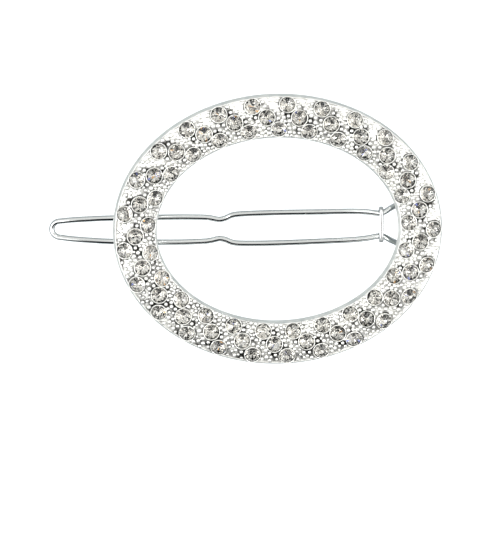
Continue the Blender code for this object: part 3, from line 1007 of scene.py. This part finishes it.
SEEN_WIDTH = 0.0770  # width of the view at the clip
AIM = (-0.005004, -0.006280)  # how far the view's middle lies right of and above the oval's
AIM_Z = 0.0012  # its height above the frame's back
SENSOR = 36.0  # width of the camera's sensor, in millimetres


def fade(tree, value, start, end):
    """A number that rises smoothly from nothing at start to one at end."""
    made = node(tree, "ShaderNodeMapRange", (("Value", value), ("From Min", start),
                                             ("From Max", end)),
                interpolation_type="SMOOTHSTEP")
    return made.outputs["Result"]


def sky(context):
    """Light all round: bright overhead and behind, softer low down, with a dark flag in front.

    The light rises with LIGHT_SLOPE. The flag takes it away in front of FLAG_FRONT, between
    FLAG_LEFT and FLAG_RIGHT, and so draws a dark line along the wire.
    """
    world = bpy.data.worlds.new("studio")
    context.scene.world = world
    world.use_nodes = True
    tree = world.node_tree
    place = node(tree, "ShaderNodeTexCoord")
    axis = node(tree, "ShaderNodeSeparateXYZ", (("Vector", place.outputs["Generated"]),))
    slope = node(tree, "ShaderNodeVectorMath", ((0, place.outputs["Generated"]),
                                                (1, LIGHT_SLOPE)),
                 operation="DOT_PRODUCT")
    light = blend_between(tree, fade(tree, slope.outputs["Value"], 0.0, 0.85),
                          LOW_LIGHT, HIGH_LIGHT, 0.0, 1.0)
    sides = product(tree, fade(tree, axis.outputs["X"], *FLAG_LEFT),
                    fade(tree, axis.outputs["X"], *FLAG_RIGHT))
    flag = product(tree, sides, fade(tree, axis.outputs["Y"], *FLAG_FRONT))
    shaded = node(tree, "ShaderNodeMixRGB", (("Fac", flag), ("Color1", light),
                                             ("Color2", FLAG_COLOUR)))
    background = tree.nodes["Background"]
    tree.links.new(shaded.outputs["Color"], background.inputs["Color"])
    background.inputs["Strength"].default_value = context.scene.clip_stage.sky


def lamp(name, place, size, power):
    """A square soft light that faces the clip."""
    data = bpy.data.lights.new(name, "AREA")
    data.size = size
    data.energy = power
    obj = bpy.data.objects.new(name, data)
    obj.location = place
    obj.rotation_euler = (-Vector(place)).to_track_quat("-Z", "Y").to_euler()
    bpy.context.scene.collection.objects.link(obj)


def floor_finish(settings):
    """A plain floor that glows for the camera only.

    So it shows white, while the metal reflects its own darker colour.
    """
    made, tree, shader = finish("floor", 0.0)
    floor = tuple(settings.floor)
    tone = blend_between(tree, object_noise(tree, 60.0), shade(floor, 0.99), floor)
    tree.links.new(tone, shader.inputs["Base Color"])
    shader.inputs["Roughness"].default_value = 0.9
    seen = node(tree, "ShaderNodeLightPath")
    glow = product(tree, seen.outputs["Is Camera Ray"], FLOOR_GLOW)
    shader.inputs["Emission Color"].default_value = (1.0, 1.0, 1.0, 1.0)
    tree.links.new(glow, shader.inputs["Emission Strength"])
    return made


def place_camera(context, distance):
    """A camera above the clip, leaning by LEAN_X and LEAN_Y, then turned by ROLL."""
    back = Vector((math.sin(LEAN_X), math.sin(LEAN_Y), 0.0))
    back.z = math.sqrt(1 - back.length_squared)
    up = (Vector((0, 1, 0)) - back * back.y).normalized()
    right = up.cross(back)
    turned = Matrix.Rotation(ROLL, 3, back)
    right, up = turned @ right, turned @ up
    target = Vector((CENTRE_X, 0.0, BACK_Z + AIM_Z)) + right * AIM[0] + up * AIM[1]
    data = bpy.data.cameras.new("camera")
    data.sensor_width = SENSOR
    data.lens = SENSOR * distance / SEEN_WIDTH
    data.clip_start = 0.01
    camera = bpy.data.objects.new("camera", data)
    camera.matrix_world = Matrix.Translation(target + back * distance) @ Matrix(
        (right, up, back)).transposed().to_4x4()
    context.scene.collection.objects.link(camera)
    context.scene.camera = camera


class CLIP_OT_stage(bpy.types.Operator):
    """Stage: a floor that shows white, soft light and a camera above the clip"""

    bl_idname = "clip.stage"
    bl_label = "Stage"

    def execute(self, context):
        settings = context.scene.clip_stage
        half = FLOOR_HALF
        drop = -settings.floor_drop
        corners = np.array([(-half, -half, drop), (half, -half, drop), (half, half, drop),
                            (-half, half, drop)])
        plane = put_mesh("floor", corners, [np.array([(0, 1, 2, 3)])], [floor_finish(settings)],
                         smooth=False)
        sky(context)
        for values in LAMPS:
            lamp(*values)
        place_camera(context, settings.distance)
        context.scene.view_settings.view_transform = "Standard"
        return {"FINISHED"}


# --- panel ---
PARTS = (CLIP_OT_cast_band, CLIP_OT_stone_cups, CLIP_OT_grains, CLIP_OT_stones, CLIP_OT_tongue,
         CLIP_OT_strap, CLIP_OT_brackets, CLIP_OT_stage)
SETTINGS = {"clip_band": ClipBandSettings, "clip_stones": ClipStoneSettings,
            "clip_wire": ClipWireSettings, "clip_finish": ClipFinishSettings,
            "clip_stage": ClipStageSettings}


class CLIP_PT_panel(bpy.types.Panel):
    """Settings and makers of the hair clip"""

    bl_idname = "CLIP_PT_panel"
    bl_label = "Rhinestone hair clip"
    bl_space_type = "VIEW_3D"
    bl_region_type = "UI"
    bl_category = "Hair clip"

    def draw(self, context):
        for part in PARTS:
            self.layout.operator(part.bl_idname)
        for name, group in SETTINGS.items():
            box = self.layout.box()
            for key in group.__annotations__:
                box.prop(getattr(context.scene, name), key)


def register():
    for name, group in SETTINGS.items():
        bpy.utils.register_class(group)
        setattr(bpy.types.Scene, name, bpy.props.PointerProperty(type=group))
    for made in (*PARTS, CLIP_PT_panel):
        bpy.utils.register_class(made)


def unregister():
    for made in (CLIP_PT_panel, *reversed(PARTS)):
        bpy.utils.unregister_class(made)
    for name, group in reversed(SETTINGS.items()):
        delattr(bpy.types.Scene, name)
        bpy.utils.unregister_class(group)


def main():
    """Make every piece."""
    register()
    for part in PARTS:
        maker = getattr(bpy.ops.clip, part.bl_idname.split(".")[1])
        if maker() != {"FINISHED"}:
            raise RuntimeError(f"{part.bl_label} was not made")


if __name__ == "__main__":
    main()
